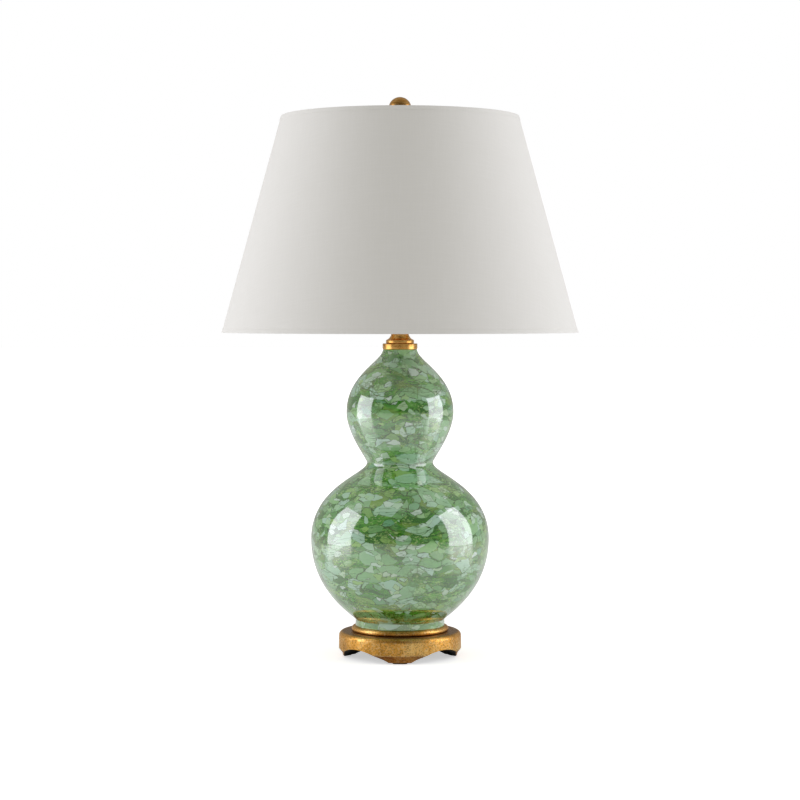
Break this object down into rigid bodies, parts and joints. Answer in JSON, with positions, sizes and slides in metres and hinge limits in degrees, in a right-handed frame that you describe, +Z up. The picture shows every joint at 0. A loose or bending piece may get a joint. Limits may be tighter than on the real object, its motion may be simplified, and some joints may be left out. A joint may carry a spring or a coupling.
{
  "type": "double gourd table lamp",
  "caption": "Table lamp with a double gourd glazed ceramic body, gilt arched plinth, brass neck, harp, turn-switch socket and bulb under a round hardback empire shade with a ball finial.",
  "frame": {"origin": "on the lamp's upright axis, at the surface it stands on", "axes": "+Z up along the lamp's axis; -Y towards the front; +X to the right, along the harp loop"},
  "size_m": [0.4571, 0.4572, 0.7175],
  "materials": {
    "gilt_wood": "antique gold leaf, satin",
    "green_felt": "pressed felt",
    "black_nylon": "moulded",
    "celadon_glaze": "glossy crackled celadon glaze",
    "zinc_steel": "zinc plated",
    "polished_brass": "polished and lacquered",
    "harp_brass": "brass plated wire",
    "socket_brass": "drawn brass",
    "liner_board": "pressed insulating board",
    "phenolic": "moulded phenolic",
    "knob_phenolic": "moulded phenolic",
    "frosted_glass": "frosted",
    "bulb_metal": "drawn",
    "bulb_insulator": "fused black glass",
    "shade_fabric": "plain weave hardback fabric",
    "shade_styrene": "styrene sheet",
    "shade_wire": "white painted wire"
  },
  "bodies": {
    "base": {"plinth": "gilt_wood", "foot_pads": "green_felt", "cord_bushing": "black_nylon", "gourd_body": "celadon_glaze", "lamp_rod": "zinc_steel", "bottom_washer": "zinc_steel", "lock_washer": "zinc_steel", "bottom_nut": "zinc_steel", "vase_cap": "polished_brass", "neck_ring": "polished_brass", "neck_cone": "polished_brass", "rod_locknut": "polished_brass", "harp_saddle": "harp_brass", "socket_cap": "socket_brass", "socket_set_screw": "zinc_steel", "socket_shell": "socket_brass", "socket_liner": "liner_board", "socket_block": "phenolic", "terminal_screws": "zinc_steel", "screw_shell": "socket_brass", "centre_contact": "socket_brass"},
    "switch": {"switch_shaft": "socket_brass", "switch_knob": "knob_phenolic"},
    "bulb": {"bulb_glass": "frosted_glass", "bulb_base": "bulb_metal", "bulb_insulator": "bulb_insulator", "bulb_tip": "bulb_metal"},
    "harp": {"harp_wire": "harp_brass", "harp_stud": "harp_brass"},
    "sleeve_left": {"harp_sleeve_left": "harp_brass"},
    "sleeve_right": {"harp_sleeve_right": "harp_brass"},
    "shade": {"shade_cover": "shade_fabric", "shade_liner": "shade_styrene", "shade_top_ring": "shade_wire", "shade_bottom_ring": "shade_wire", "shade_top_trim": "shade_fabric", "shade_bottom_trim": "shade_fabric", "spider_arms": "shade_wire", "spider_washer": "shade_wire"},
    "finial": {"finial_base": "polished_brass", "finial_ball": "polished_brass"}
  },
  "joints": [
    {"name": "switch_turn", "type": "hinge", "parent": "base", "child": "switch", "pos_m": [0, -0.025, 0.4526], "axis": [0, -1, 0], "continuous": true},
    {"name": "bulb_unscrew", "type": "hinge", "parent": "base", "child": "bulb", "pos_m": [0, 0, 0.475], "axis": [0, 0, 1], "continuous": true},
    {"name": "harp_lift", "type": "slide", "parent": "base", "child": "harp", "axis": [0, 0, 1], "range_m": [0, 0.06]},
    {"name": "sleeve_left_slide", "type": "slide", "parent": "harp", "child": "sleeve_left", "axis": [0, 0, 1], "range_m": [0, 0.018]},
    {"name": "sleeve_right_slide", "type": "slide", "parent": "harp", "child": "sleeve_right", "axis": [0, 0, 1], "range_m": [0, 0.018]},
    {"name": "shade_turn", "type": "hinge", "parent": "harp", "child": "shade", "pos_m": [0, 0, 0.68], "axis": [0, 0, 1], "continuous": true},
    {"name": "finial_unscrew", "type": "hinge", "parent": "harp", "child": "finial", "pos_m": [0, 0, 0.69], "axis": [0, 0, 1], "continuous": true}
  ]
}
